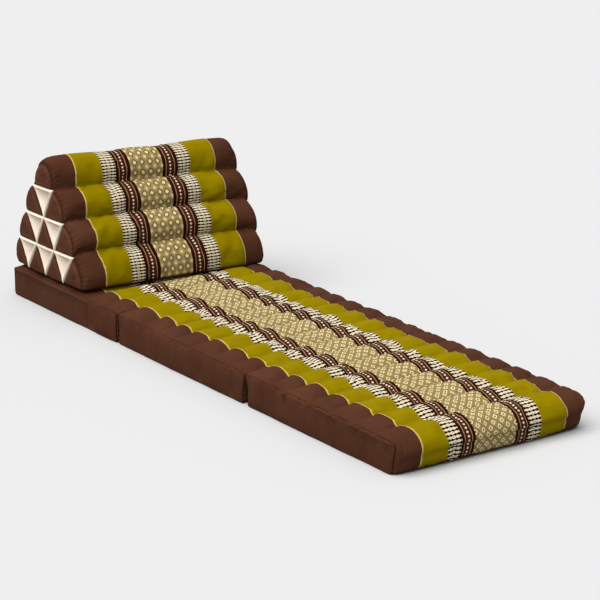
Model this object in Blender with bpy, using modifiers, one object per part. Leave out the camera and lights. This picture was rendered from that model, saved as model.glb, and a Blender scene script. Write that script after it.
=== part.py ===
# A triangular cushion standing on the head mat of a mat that folds in three, all of filled cotton.
# Sizes are in metres. x runs from the head end to the foot end, y across the mat and z up.
from collections import namedtuple
from math import cos, pi, sin, sqrt

import bmesh
import bpy
from mathutils import Vector

# Driving sizes
LENGTH = 1.705            # head end to foot end of the three mats laid flat
MAT_HALF_WIDTH = 0.2690   # to the filled mat's side face, under its side panel
SEAM_HEIGHT = 0.0765      # top seam of the side panels
VALLEY_HEIGHT = 0.0810    # quilting seams across the mat, at the edge of the print
PRINT_HALF_WIDTH = 0.2065
CUSHION_PRINT_HALF_WIDTH = 0.2048
CUSHION_END = 0.2640      # the flat of the cushion's end, at the rims of its pockets
CELL_CROWN = 0.0100       # how far the brown cells stand out of that flat
POCKET_DEPTH = 0.0180
SKEW = 0.085              # the cushion leans towards the foot end as y grows

# Cloth
CLOTH = 0.0015            # printed cotton and side panels
THIN_CLOTH = 0.0012       # pocket cloth and fold strips
GAP = 0.0003              # between pieces that touch
SAME = 0.00001            # points nearer than this are one point
BEDDING = CLOTH + GAP + 0.0004   # how deep a filling lies under its printed panel
HEM_HEIGHT = 0.0020       # lower edge of the side panels above the ground
PRINT_HEM_HEIGHT = 0.0080  # lower edge of the print at the two ends of the mat
CUSHION_HEM_HEIGHT = 0.0985  # lower edges of the print on the cushion
STEP = 0.0008             # width of the step from border to print
POCKET_PROUD = 0.0025     # pocket cloth above its recess
POCKET_INSET = 0.94       # share of the recess that the pocket cloth fills
CELL_SHOULDER = 0.45      # from a brown cell's outline to its middle, where it is nearly full
SHOULDER_CROWN = 0.8      # how full it is there

# Points along each curved stretch
ROLL_POINTS = 5
CORNER_POINTS = 6
ARC_POINTS = 6

# Each mat's quilted rolls: width and height above the seams, both in millimetres
MM = 0.001
Rolls = namedtuple("Rolls", "widths heights")
ROLLS = {
    "head": Rolls((76, 76, 76, 76, 76, 76, 85), (8, 8, 8, 8, 8, 10, 12)),
    "middle": Rolls((106, 77, 70, 79, 87, 79, 75), (12, 12, 11, 12, 13, 12, 11)),
    "foot": Rolls((89, 73, 85, 81, 87, 84, 75), (11, 12, 13, 12, 13, 12, 9)),
}
START = {"head": 0.0, "middle": 0.5410, "foot": 1.1150}

# Each mat's two ends: x of the end at full fill and at the side panel, high and low on the end,
# then the width and height of the rounding over the top edge and under the lower edge
End = namedtuple("End", "top low side_top side_low over_x over_z under_x under_z")
ENDS = {
    "head": (
        End(0.0000, 0.0000, 0.0080, 0.0080, 0.034, 0.040, 0.020, 0.040),
        End(0.5390, 0.5380, 0.5320, 0.5335, 0.014, 0.022, 0.014, 0.014),
    ),
    "middle": (
        End(0.5410, 0.5420, 0.5465, 0.5455, 0.014, 0.022, 0.014, 0.014),
        End(1.1130, 1.1060, 1.1105, 1.1035, 0.012, 0.016, 0.014, 0.016),
    ),
    "foot": (
        End(1.1150, 1.1225, 1.1175, 1.1250, 0.012, 0.016, 0.014, 0.016),
        End(LENGTH, LENGTH, 1.6920, 1.6790, 0.062, 0.044, 0.020, 0.044),
    ),
}
SIDE_ROUNDING = 0.007     # corners of the side panels

# Stations across a mat: y, share of the rise from side seam to quilting seam, share of the rolls'
# height, share of the ends' fill
Station = namedtuple("Station", "y rise roll fill")
MAT_STATIONS = (
    Station(MAT_HALF_WIDTH, 0.00, 0.00, 0.00),
    Station(0.2640, 0.50, 0.40, 0.35),
    Station(0.2500, 0.90, 0.85, 0.75),
    Station(PRINT_HALF_WIDTH, 1.00, 0.95, 0.96),
    Station(0.0000, 1.10, 1.00, 1.00),
)

# The cushion's seams as seen from its end, in the middle of its length and at its end flat
Seam = namedtuple("Seam", "x z end_x end_z")
SEAMS = {
    "toe": Seam(0.3750, 0.0905, 0.3620, 0.0925),
    "front3": Seam(0.3475, 0.1855, 0.3365, 0.1690),
    "front2": Seam(0.3005, 0.2625, 0.2880, 0.2480),
    "front1": Seam(0.2505, 0.3360, 0.2390, 0.3265),
    "back1": Seam(0.1420, 0.3260, 0.1445, 0.3255),
    "back2": Seam(0.1000, 0.2460, 0.1035, 0.2465),
    "back3": Seam(0.0580, 0.1660, 0.0625, 0.1670),
    "heel": Seam(0.0450, 0.0905, 0.0520, 0.0925),
    "base1": Seam(0.1050, 0.0935, 0.1050, 0.0925),
    "base2": Seam(0.1950, 0.0935, 0.1950, 0.0925),
    "base3": Seam(0.2850, 0.0935, 0.2850, 0.0925),
}
# Its rolls from seam to seam, in order round the section, each with the handles of its curve
Roll = namedtuple("Roll", "start out_x out_z in_x in_z")
CUSHION_ROLLS = (
    Roll("toe", 0.044, 0.000, 0.036, -0.006),
    Roll("front3", 0.010, 0.036, 0.036, -0.004),
    Roll("front2", 0.006, 0.034, 0.036, -0.004),
    Roll("front1", 0.006, 0.094, 0.026, 0.121),
    Roll("back1", -0.032, -0.006, -0.010, 0.034),
    Roll("back2", -0.032, -0.006, -0.010, 0.034),
    Roll("back3", -0.032, -0.008, -0.040, 0.000),
    Roll("heel", 0.020, 0.000, -0.010, -0.003),
    Roll("base1", 0.012, -0.004, -0.012, -0.004),
    Roll("base2", 0.012, -0.004, -0.012, -0.004),
    Roll("base3", 0.010, -0.003, -0.020, 0.000),
)
PRINTED_ROLLS = 7         # the first rolls of that list are under the print
END_CURVE = 0.88          # how full the rolls' curves are at the end flat

# Stations from the end flat to the full section: y and share of the full section
CushionStation = namedtuple("CushionStation", "y full")
CUSHION_STATIONS = (
    CushionStation(CUSHION_END, 0.00),
    CushionStation(0.2590, 0.45),
    CushionStation(0.2490, 0.80),
    CushionStation(0.2330, 0.96),
    CushionStation(CUSHION_PRINT_HALF_WIDTH, 1.00),
)

# The fold strips: at the foot fold the cloth runs over the top, at the head fold under the mats
FOLD_HEAD = 0.5400
FOLD_FOOT = 1.1140
LOW_STRIP_HALF_WIDTH = 0.0070
LOW_STRIP_HEIGHT = 0.0010
TOP_STRIP_HALF_WIDTH = 0.0060
TOP_STRIP_DIP = 0.0022
STRIP_HALF_LENGTH = 0.2640

BROWN = (0.098, 0.040, 0.025, 1.0)
OLIVE = (0.287, 0.224, 0.004, 1.0)
IVORY = (0.807, 0.694, 0.521, 1.0)


def clear_scene():
    for thing in list(bpy.data.objects):
        bpy.data.objects.remove(thing)


def cotton(name, colour, roughness):
    material = bpy.data.materials.new(name)
    material.use_nodes = True
    shader = material.node_tree.nodes["Principled BSDF"]
    shader.inputs["Base Color"].default_value = colour
    shader.inputs["Roughness"].default_value = roughness
    shader.inputs["Metallic"].default_value = 0.0
    return material


def add_object(name, mesh, material):
    mesh.materials.append(material)
    thing = bpy.data.objects.new(name, mesh)
    bpy.data.collections["thai_triangle_cushion"].objects.link(thing)
    return thing


def finish_mesh(name, bm, material):
    bmesh.ops.recalc_face_normals(bm, faces=bm.faces)
    mesh = bpy.data.meshes.new(name)
    bm.to_mesh(mesh)
    bm.free()
    mesh.shade_smooth()
    return add_object(name, mesh, material)


def placed(x, y, z):
    # the model's origin is under the middle of the mat
    return Vector((x - LENGTH / 2, y, z))


def curve_points(start, handle_out, handle_in, end, count):
    # a cubic curve from start up to, but not including, end
    points = []
    for step in range(count):
        t = step / count
        s = 1 - t
        points.append(tuple(
            s ** 3 * start[i]
            + 3 * s * s * t * (start[i] + handle_out[i])
            + 3 * s * t * t * (end[i] + handle_in[i])
            + t ** 3 * end[i]
            for i in (0, 1)
        ))
    return points


def pulled_in(loop, amount, covered):
    # moves the covered points of a closed anticlockwise loop inwards, square to the loop
    moved = []
    for i, (x, z) in enumerate(loop):
        before, after = loop[i - 1], loop[(i + 1) % len(loop)]
        dx, dz = after[0] - before[0], after[1] - before[1]
        length = sqrt(dx * dx + dz * dz)
        share = amount if covered[i] else 0.0
        moved.append((x - dz / length * share, z + dx / length * share))
    return moved


def roll_height(share):
    return 1 - (2 * share - 1) ** 2


def mat_top(mat, station, x):
    # the quilted top: valleys at the seams and a round roll between each two
    start = START[mat]
    rolls = list(zip(*ROLLS[mat]))
    while len(rolls) > 1 and x > start + rolls[0][0] * MM:
        start += rolls.pop(0)[0] * MM
    width, height = rolls[0]
    share = min(max((x - start) / (width * MM), 0), 1)
    base = SEAM_HEIGHT + (VALLEY_HEIGHT - SEAM_HEIGHT) * station.rise
    return base + height * MM * station.roll * roll_height(share)


def end_curve(mat, station, end, side):
    # from the top of an end down to the ground: over the edge, down the end and under it
    fill = station.fill
    top = end.side_top + (end.top - end.side_top) * fill
    low = end.side_low + (end.low - end.side_low) * fill
    over_x, over_z, under_x, under_z = (
        SIDE_ROUNDING + (full - SIDE_ROUNDING) * fill
        for full in (end.over_x, end.over_z, end.under_x, end.under_z)
    )
    high = mat_top(mat, station, top - side * over_x)
    points = []
    for step in range(CORNER_POINTS + 1):
        turn = pi / 2 * step / CORNER_POINTS
        points.append((top - side * over_x * (1 - sin(turn)), high - over_z * (1 - cos(turn))))
    for step in range(CORNER_POINTS + 1):
        turn = pi / 2 * step / CORNER_POINTS
        points.append((low - side * under_x * (1 - cos(turn)), under_z * (1 - sin(turn))))
    return points


def mat_loop(mat, station):
    # one section of a mat, anticlockwise from under its foot end, and how many points each end has
    first, last = (
        end_curve(mat, station, end, side)
        for end, side in zip(ENDS[mat], (-1, 1))
    )
    top = []
    start = START[mat]
    widths = ROLLS[mat].widths
    for number, width in enumerate(widths):
        left = first[0][0] if number == 0 else start
        right = last[0][0] if number == len(widths) - 1 else start + width * MM
        for step in range(ROLL_POINTS):
            if number or step:
                x = left + (right - left) * step / ROLL_POINTS
                top.append((x, mat_top(mat, station, x)))
        start += width * MM
    return last[::-1] + top[::-1] + first, len(first)


def ring(bm, loop, y):
    return [bm.verts.new(placed(x, y, z)) for x, z in loop]


def bridge(bm, rings, closed=True):
    for near, far in zip(rings, rings[1:]):
        for i in range(len(near) if closed else len(near) - 1):
            j = (i + 1) % len(near)
            bm.faces.new((near[i], near[j], far[j], far[i]))


def both_sides(stations):
    # the stations from one side to the other, the middle one once
    near = [station._replace(y=-station.y) for station in stations if station.y]
    return near + sorted(stations, key=lambda station: station.y)


def print_covers(point, end_count, index, total, mat):
    # the print runs over the top and down the free ends, and stops at the folds
    at_foot = index < end_count
    at_head = index >= total - end_count
    if at_head and mat == "head" or at_foot and mat == "foot":
        return point[1] >= PRINT_HEM_HEIGHT
    if at_foot:
        return index == end_count - 1
    return not at_head or index == total - end_count


def with_print_edges(stations, half_width):
    # a step down at each edge of the print, where the printed panel lies on the filling
    found = []
    for station in both_sides(stations):
        if abs(abs(station.y) - half_width) < SAME:
            inner = station._replace(y=station.y * (1 - STEP / half_width))
            step = [(inner, True), (station, False)]
            found += step if station.y > 0 else step[::-1]
        else:
            found.append((station, abs(station.y) < half_width))
    return found


def make_mat(mat, material):
    bm = bmesh.new()
    rings = []
    for station, printed in with_print_edges(MAT_STATIONS, PRINT_HALF_WIDTH):
        loop, end_count = mat_loop(mat, station)
        if printed:
            covered = [
                print_covers(point, end_count, i, len(loop), mat)
                for i, point in enumerate(loop)
            ]
            loop = pulled_in(loop, BEDDING, covered)
        rings.append(ring(bm, loop, station.y))
    bridge(bm, rings)
    bm.faces.new(rings[0])
    bm.faces.new(rings[-1])
    return finish_mesh(mat + "_mat", bm, material)


def thicken(thing, thickness, offset):
    solidify = thing.modifiers.new("cloth", "SOLIDIFY")
    solidify.thickness = thickness
    solidify.offset = offset
    return thing


def upward(bm, side):
    # turns an open sheet so that its faces look towards side
    total = sum((face.normal * face.calc_area() for face in bm.faces), Vector())
    if total.dot(side) < 0:
        bmesh.ops.reverse_faces(bm, faces=bm.faces)


def finish_sheet(name, bm, material, side, thickness, offset):
    bm.normal_update()
    upward(bm, side)
    mesh = bpy.data.meshes.new(name)
    bm.to_mesh(mesh)
    bm.free()
    mesh.shade_smooth()
    return thicken(add_object(name, mesh, material), thickness, offset)


def make_mat_print(mat, material):
    inside = PRINT_HALF_WIDTH - STEP - GAP
    bm = bmesh.new()
    rings = []
    for station in both_sides(MAT_STATIONS):
        if abs(station.y) > PRINT_HALF_WIDTH:
            continue
        y = max(-inside, min(inside, station.y))
        loop, end_count = mat_loop(mat, station)
        kept = [
            point for i, point in enumerate(loop)
            if print_covers(point, end_count, i, len(loop), mat)
        ]
        rings.append(ring(bm, kept, y))
    bridge(bm, rings, closed=False)
    return finish_sheet(mat + "_mat_print", bm, material, Vector((0, 0, 1)), CLOTH, -1)


def make_side_panel(mat, side_name, side, material):
    loop, _ = mat_loop(mat, MAT_STATIONS[0])
    outline = [(x, max(z, HEM_HEIGHT)) for x, z in loop]
    bm = bmesh.new()
    bm.faces.new(ring(bm, outline, side * (MAT_HALF_WIDTH + GAP)))
    bmesh.ops.remove_doubles(bm, verts=bm.verts, dist=SAME)
    name = mat + "_mat_side_" + side_name
    return finish_sheet(name, bm, material, Vector((0, side, 0)), CLOTH, 1)


def strip_profile(centre, half_width, height, dip):
    return [
        (centre + share * half_width, height - dip * (1 - share * share))
        for share in (-1, -0.5, 0, 0.5, 1)
    ]


def make_low_strip(material):
    bm = bmesh.new()
    profile = strip_profile(FOLD_HEAD, LOW_STRIP_HALF_WIDTH, LOW_STRIP_HEIGHT, 0)
    rings = [ring(bm, profile, y) for y in (-STRIP_HALF_LENGTH, STRIP_HALF_LENGTH)]
    bridge(bm, rings, closed=False)
    return finish_sheet("fold_strip_head", bm, material, Vector((0, 0, 1)), THIN_CLOTH, 0)


def make_top_strip(material):
    # lies over the rounded edges of the two mats, as high as they are at each station
    bm = bmesh.new()
    rings = []
    edge = ENDS["middle"][1]
    for station in both_sides(MAT_STATIONS):
        if abs(station.y) > STRIP_HALF_LENGTH:
            continue
        height = mat_top("middle", station, edge.top - edge.over_x)
        profile = strip_profile(FOLD_FOOT, TOP_STRIP_HALF_WIDTH, height, TOP_STRIP_DIP)
        rings.append(ring(bm, profile, station.y))
    bridge(bm, rings, closed=False)
    return finish_sheet("fold_strip_foot", bm, material, Vector((0, 0, 1)), THIN_CLOTH, 0)


def seam_point(name, full):
    seam = SEAMS[name]
    return (
        seam.end_x + (seam.x - seam.end_x) * full,
        seam.end_z + (seam.z - seam.end_z) * full,
    )


def cushion_loop(full):
    # one section of the cushion, roll by roll
    loop = []
    curve = END_CURVE + (1 - END_CURVE) * full
    for number, roll in enumerate(CUSHION_ROLLS):
        after = CUSHION_ROLLS[(number + 1) % len(CUSHION_ROLLS)]
        loop += curve_points(
            seam_point(roll.start, full),
            (roll.out_x * curve, roll.out_z * curve),
            (roll.in_x * curve, roll.in_z * curve),
            seam_point(after.start, full),
            ARC_POINTS,
        )
    return loop


def skewed(loop, y):
    return [(x + SKEW * y, z) for x, z in loop]


def end_grid(row, column):
    # where the cells of the cushion's end meet: rows 1 to 3 between the faces, row 4 on the base
    if row == 4:
        return seam_point("base%d" % column, 0)
    back = seam_point("back%d" % row, 0)
    front = seam_point("front%d" % row, 0)
    share = column / row
    return tuple(back[i] + (front[i] - back[i]) * share for i in (0, 1))


def middle_of(points):
    return tuple(sum(point[i] for point in points) / len(points) for i in (0, 1))


def add_cell(bm, corners, side):
    # a brown cell crowned over its outline
    centre = sum((vert.co for vert in corners), Vector()) / len(corners)
    inner = []
    for vert in corners:
        point = vert.co.lerp(centre, CELL_SHOULDER)
        point.y += side * CELL_CROWN * SHOULDER_CROWN
        inner.append(bm.verts.new(point))
    bridge(bm, [corners + corners[:1], inner + inner[:1]], closed=False)
    top = bm.verts.new(centre + Vector((0, side * CELL_CROWN, 0)))
    for i, vert in enumerate(inner):
        bm.faces.new((vert, inner[(i + 1) % len(inner)], top))


def add_recess(bm, corners, side):
    centre = sum((vert.co for vert in corners), Vector()) / 3
    bottom = bm.verts.new(centre - Vector((0, side * POCKET_DEPTH, 0)))
    for i in range(3):
        bm.faces.new((corners[i], corners[(i + 1) % 3], bottom))


def add_cushion_end(bm, verts, side):
    # verts is the ring of the end flat, ARC_POINTS to each roll
    names = [roll.start for roll in CUSHION_ROLLS]

    def stretch(first, last):
        start = names.index(first) * ARC_POINTS
        stop = names.index(last) * ARC_POINTS
        if stop <= start:
            stop += len(verts)
        return [verts[i % len(verts)] for i in range(start, stop + 1)]

    def at(row, column):
        if row < 4 and column == 0:
            return verts[names.index("back%d" % row) * ARC_POINTS]
        if row < 4 and column == row:
            return verts[names.index("front%d" % row) * ARC_POINTS]
        if row == 4:
            return verts[names.index("base%d" % column) * ARC_POINTS]
        return inside[row, column]

    inside = {}
    y = side * CUSHION_END
    for row, column in ((2, 1), (3, 1), (3, 2)):
        x, z = skewed([end_grid(row, column)], y)[0]
        inside[row, column] = bm.verts.new(placed(x, y, z))
    for cell in (
        stretch("front1", "back1"),
        stretch("back1", "back2") + [at(2, 1)],
        stretch("front2", "front1") + [at(2, 1)],
        stretch("back2", "back3") + [at(3, 1)],
        [at(2, 1), at(3, 1), at(3, 2)],
        stretch("front3", "front2") + [at(3, 2)],
        stretch("back3", "base1"),
        stretch("base1", "base2") + [at(3, 1)],
        stretch("base2", "base3") + [at(3, 2)],
        stretch("base3", "front3"),
    ):
        add_cell(bm, cell, side)
    for row in (1, 2, 3):
        for column in range(row):
            add_recess(bm, [at(row, column), at(row, column + 1), at(row + 1, column + 1)], side)


def make_cushion(material):
    bm = bmesh.new()
    rings = []
    under_print = [i < PRINTED_ROLLS * ARC_POINTS and i > 0 for i in range(len(cushion_loop(1)))]
    for station, printed in with_print_edges(CUSHION_STATIONS, CUSHION_PRINT_HALF_WIDTH):
        loop = cushion_loop(station.full)
        if printed:
            loop = pulled_in(loop, BEDDING, under_print)
        rings.append(ring(bm, skewed(loop, station.y), station.y))
    bridge(bm, rings)
    add_cushion_end(bm, rings[0], -1)
    add_cushion_end(bm, rings[-1], 1)
    return finish_mesh("cushion", bm, material)


def make_cushion_print(material):
    inside = CUSHION_PRINT_HALF_WIDTH - STEP - GAP
    kept = [
        point for point in cushion_loop(1)[:PRINTED_ROLLS * ARC_POINTS]
        if point[1] >= CUSHION_HEM_HEIGHT
    ]
    bm = bmesh.new()
    rings = [ring(bm, skewed(kept, y), y) for y in (-inside, inside)]
    bridge(bm, rings, closed=False)
    return finish_sheet("cushion_print", bm, material, Vector((0, 0, 1)), CLOTH, -1)


def make_pocket(name, row, column, side, material):
    corners = [end_grid(row, column), end_grid(row, column + 1), end_grid(row + 1, column + 1)]
    x, z = middle_of(corners)
    rim = [(x + (px - x) * POCKET_INSET, z + (pz - z) * POCKET_INSET) for px, pz in corners]
    y = side * (CUSHION_END + POCKET_PROUD)
    bm = bmesh.new()
    shift = SKEW * side * CUSHION_END
    edge = [bm.verts.new(placed(px + shift, y, pz)) for px, pz in rim]
    bottom = bm.verts.new(placed(x + shift, y - side * POCKET_DEPTH, z))
    for i in range(3):
        bm.faces.new((edge[i], edge[(i + 1) % 3], bottom))
    return finish_sheet(name, bm, material, Vector((0, side, 0)), THIN_CLOTH, 0)


def main():
    clear_scene()
    collection = bpy.data.collections.new("thai_triangle_cushion")
    bpy.context.scene.collection.children.link(collection)
    brown = cotton("brown_cotton", BROWN, 0.9)
    printed = cotton("printed_cotton", OLIVE, 0.85)
    ivory = cotton("ivory_cotton", IVORY, 0.85)
    for mat in ROLLS:
        make_mat(mat, brown)
        make_mat_print(mat, printed)
        make_side_panel(mat, "right", -1, brown)
        make_side_panel(mat, "left", 1, brown)
    make_low_strip(brown)
    make_top_strip(brown)
    make_cushion(brown)
    make_cushion_print(printed)
    for side_name, side in (("right", -1), ("left", 1)):
        for row in (1, 2, 3):
            for column in range(row):
                name = "pocket_%s_%d_%d" % (side_name, row, column + 1)
                make_pocket(name, row, column, side, ivory)


main()
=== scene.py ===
# A triangular cushion on a mat that folds in three: quilted brown cotton with printed bands.
from collections import namedtuple
from math import cos, pi, radians, sin

import bpy
import numpy as np
from mathutils import Matrix, Vector, noise


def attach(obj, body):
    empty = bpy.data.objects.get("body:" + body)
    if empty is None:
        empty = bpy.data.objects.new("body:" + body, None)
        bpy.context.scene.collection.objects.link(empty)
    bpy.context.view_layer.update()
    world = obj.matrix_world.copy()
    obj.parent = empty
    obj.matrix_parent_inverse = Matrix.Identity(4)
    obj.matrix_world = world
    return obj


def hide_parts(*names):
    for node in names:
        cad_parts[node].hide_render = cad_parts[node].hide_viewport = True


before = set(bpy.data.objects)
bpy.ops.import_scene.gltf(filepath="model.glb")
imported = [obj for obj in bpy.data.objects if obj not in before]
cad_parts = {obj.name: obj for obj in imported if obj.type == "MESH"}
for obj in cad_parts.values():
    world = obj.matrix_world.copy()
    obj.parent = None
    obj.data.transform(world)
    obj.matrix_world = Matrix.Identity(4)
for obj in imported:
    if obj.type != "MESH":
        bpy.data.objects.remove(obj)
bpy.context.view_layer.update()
scene = bpy.context.scene
half = 0.8525                    # from the mat's middle to its head end


# Nodes
class Maths:
    # writes sums in a node tree; every call gives back a socket
    def __init__(self, tree):
        self.tree = tree
        self.count = 0

    def node(self, kind, **settings):
        made = self.tree.nodes.new(kind)
        made.location = (220 * (self.count // 8) - 3200, 180 * (self.count % 8) - 900)
        self.count += 1
        for name, value in settings.items():
            setattr(made, name, value)
        return made

    def feed(self, socket, value):
        if isinstance(value, bpy.types.NodeSocket):
            self.tree.links.new(value, socket)
        else:
            socket.default_value = value

    def sum(self, operation, *values):
        made = self.node("ShaderNodeMath", operation=operation)
        for socket, value in zip(made.inputs, values):
            self.feed(socket, value)
        return made.outputs[0]

    def times(self, first, second):
        return self.sum("MULTIPLY", first, second)

    def plus(self, first, second):
        return self.sum("ADD", first, second)

    def minus(self, first, second):
        return self.sum("SUBTRACT", first, second)

    def step(self, value, edge, soft=0.0003):
        # 0 below the edge and 1 above it
        made = self.node("ShaderNodeMapRange", interpolation_type="SMOOTHSTEP")
        self.feed(made.inputs["Value"], value)
        for name, number in (("From Min", edge - soft), ("From Max", edge + soft)):
            self.feed(made.inputs[name], number)
        return made.outputs[0]

    def below(self, value, edge, soft):
        return self.minus(1.0, self.step(value, edge, soft))

    def band(self, value, low, high, soft=0.0003):
        return self.minus(self.step(value, low, soft), self.step(value, high, soft))

    def mix(self, share, first, second, blend="MIX"):
        made = self.node("ShaderNodeMix", data_type="RGBA", blend_type=blend)
        self.feed(made.inputs[0], share)
        self.feed(made.inputs[6], first)
        self.feed(made.inputs[7], second)
        return made.outputs[2]

    def wobble(self, place, scale, detail=2.0, stretch=(1, 1, 1)):
        # noise about 0.5
        mapping = self.node("ShaderNodeMapping")
        self.feed(mapping.inputs["Vector"], place)
        self.feed(mapping.inputs["Scale"], stretch)
        made = self.node("ShaderNodeTexNoise")
        self.feed(made.inputs["Vector"], mapping.outputs[0])
        self.feed(made.inputs["Scale"], scale)
        self.feed(made.inputs["Detail"], detail)
        return made.outputs["Fac"]


dye = 0.53                       # the studio light is strong, so a cloth is darker than it looks there


def seen(red, green, blue):
    # a cloth's own colour, linear, from how it looks in full light in the studio, where white is 255
    def linear(c):
        c /= 255
        return dye * (c / 12.92 if c <= 0.04045 else ((c + 0.055) / 1.055) ** 2.4)
    return (linear(red), linear(green), linear(blue), 1.0)


def newMaterial(name):
    material = bpy.data.materials.new(name)
    material.use_nodes = True
    maths = Maths(material.node_tree)
    shader = material.node_tree.nodes["Principled BSDF"]
    return material, maths, shader


def clothUv(maths):
    place = maths.node("ShaderNodeUVMap", uv_map="cloth").outputs[0]
    parts = maths.node("ShaderNodeSeparateXYZ")
    maths.feed(parts.inputs[0], place)
    return place, parts.outputs[0], parts.outputs[1]


def weaveHeight(maths, across, along, pitch):
    # a plain weave: threads over and under by turns
    a = maths.sum("SINE", maths.times(across, pi / pitch))
    b = maths.sum("SINE", maths.times(along, pi / pitch))
    return maths.times(a, b)


def giveInputs(maths, made, values):
    for name, value in values.items():
        maths.feed(made.inputs[name], value)


def finishSurface(maths, shader, values, height, distance, strength):
    bump = maths.node("ShaderNodeBump")
    giveInputs(maths, bump, {"Strength": strength, "Distance": distance, "Height": height})
    giveInputs(maths, shader, {**values, "Normal": bump.outputs[0]})


def finishCloth(maths, shader, cloth, colour, height, distance):
    # the settings that all the cottons share
    tint = cloth["colour"]
    values = {
        "Base Color": colour, "Roughness": cloth["roughness"], "Specular IOR Level": 0.06,
        "Specular Tint": tint, "Sheen Weight": cloth["sheen"], "Sheen Roughness": 0.5, "Sheen Tint": tint,
    }
    finishSurface(maths, shader, values, height, distance, 0.5)


# Brown cotton
brownCloth = {
    "colour": seen(97, 60, 43),
    "worn": seen(122, 80, 60),
    "deep": seen(79, 46, 31),
    # seam: the colour of the painted shade along a seam's groove
    "seam": seen(36, 17, 9),
    "thread": 0.0007,
    "roughness": 0.85,
    "sheen": 0.06,
    "wrinkles": 1.5,
    "puckers": 0.85,             # small folds drawn in by the seams
    "puckerPitch": 0.013,
}


def makeBrownCotton(name, cloth, seam, dark):
    # seam is how far across the cloth its edge seam lies, and dark how strongly the painted shade along
    # that seam shows
    material, maths, shader = newMaterial(name)
    place, across, along = clothUv(maths)
    side = maths.sum("ABSOLUTE", across)
    patches = maths.wobble(place, 9.0, 3.0)
    fine = maths.wobble(place, 420.0, 2.0)
    colour = maths.mix(maths.step(patches, 0.5, 0.3), cloth["deep"], cloth["colour"])
    colour = maths.mix(maths.times(maths.step(fine, 0.58, 0.12), 0.25), colour, cloth["worn"])
    ridge = maths.band(side, seam + 0.0010, seam + 0.0045, 0.0012)
    rubbed = maths.times(ridge, maths.times(maths.wobble(place, 60.0), 0.7))
    colour = maths.mix(rubbed, colour, cloth["worn"])
    # painted shade: the line along the seam is darkened towards the seam colour, standing in for shade in
    # its groove; the bump below also sinks it
    line = maths.band(side, seam - 0.0012, seam + 0.0009, 0.0005)
    colour = maths.mix(maths.times(line, dark), colour, cloth["seam"])
    threads = maths.times(weaveHeight(maths, across, along, cloth["thread"]), 0.10)
    creases = maths.wobble(place, 26.0, 4.0, (0.45, 1.5, 1))
    bend = maths.times(maths.wobble(place, 18.0, 2.0), 9.0)
    waves = maths.sum("SINE", maths.plus(maths.times(along, 2 * pi / cloth["puckerPitch"]), bend))
    nearSeam = maths.times(maths.step(side, seam - 0.016, 0.013), maths.below(side, seam + 0.012, 0.010))
    puckers = maths.times(maths.times(waves, nearSeam), cloth["puckers"])
    height = maths.plus(threads, maths.times(creases, cloth["wrinkles"]))
    height = maths.plus(height, maths.minus(puckers, maths.times(line, 0.8)))
    finishCloth(maths, shader, cloth, colour, height, 0.0012)
    return material


# Printed cotton: bands from the edge to the middle, the same on both sides. Sizes in metres; seed, core
# and ring are shares of a lozenge, and fainter and lattice are strengths.
Print = namedtuple("Print", """edge green checks dark beadRows beadHeight pitchAcross pitchAlong
                   seed seedColour core ring fainter lattice""")
cushionPrint = Print(
    edge=0.2037, green=0.1286, checks=0.0910, dark=0.0475, beadRows=0.0080, beadHeight=0.34,
    pitchAcross=0.0225, pitchAlong=0.0270, seed=0.16, seedColour="cream",
    core=0.46, ring=0.80, fainter=0.55, lattice=0.70,
)
matPrint = Print(
    edge=0.2054, green=0.1330, checks=0.0960, dark=0.0590, beadRows=0.0100, beadHeight=0.34,
    pitchAcross=0.0230, pitchAlong=0.0240, seed=0.24, seedColour="groundLine",
    core=0.58, ring=0.78, fainter=0.85, lattice=0.85,
)
printCloth = {
    "colour": seen(160, 139, 0),
    "greenDeep": seen(148, 126, 0),
    "cream": seen(255, 240, 205),
    "darkBrown": seen(78, 36, 24),
    "darkEdge": seen(42, 15, 7),
    "tanLine": seen(196, 152, 116),
    "paleLine": seen(228, 194, 112),
    "ground": seen(217, 193, 130),
    "groundLine": seen(110, 84, 32),
    "ringLine": seen(100, 76, 26),
    "lozenge": seen(250, 232, 182),
    "paleLineWidth": 0.0022,
    "beadColumns": 3.5,
    "beadWidth": 0.49,           # half width of a bead, in columns; beadHeight is in rows
    "strand": 0.0013,            # half the thickness of the thread between beads
    "dotPitch": 0.0095,
    "dotSize": 0.0032,
    "thread": 0.0006,
    "roughness": 0.85,
    "sheen": 0.05,
}


def cellPlace(maths, value, pitch, shift=0.0):
    # distance from the middle of the cell it falls in, in metres
    turn = maths.plus(maths.sum("DIVIDE", value, pitch), shift)
    near = maths.minus(maths.sum("FRACT", turn), 0.5)
    return maths.times(maths.sum("ABSOLUTE", near), pitch)


def oval(maths, sideways, upright, width, height):
    # 1 on the outline of an oval with those half sizes
    parts = maths.sum("DIVIDE", sideways, width), maths.sum("DIVIDE", upright, height)
    return maths.sum("SQRT", maths.plus(*[maths.sum("POWER", part, 2.0) for part in parts]))


def lozenge(maths, sideways, upright, width, height):
    # 1 on the outline of a lozenge with those half sizes, a little rounded
    straight = maths.plus(maths.sum("DIVIDE", sideways, width), maths.sum("DIVIDE", upright, height))
    rounded = oval(maths, sideways, upright, width, height)
    return maths.plus(maths.times(straight, 0.8), maths.times(rounded, 0.22))


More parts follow.
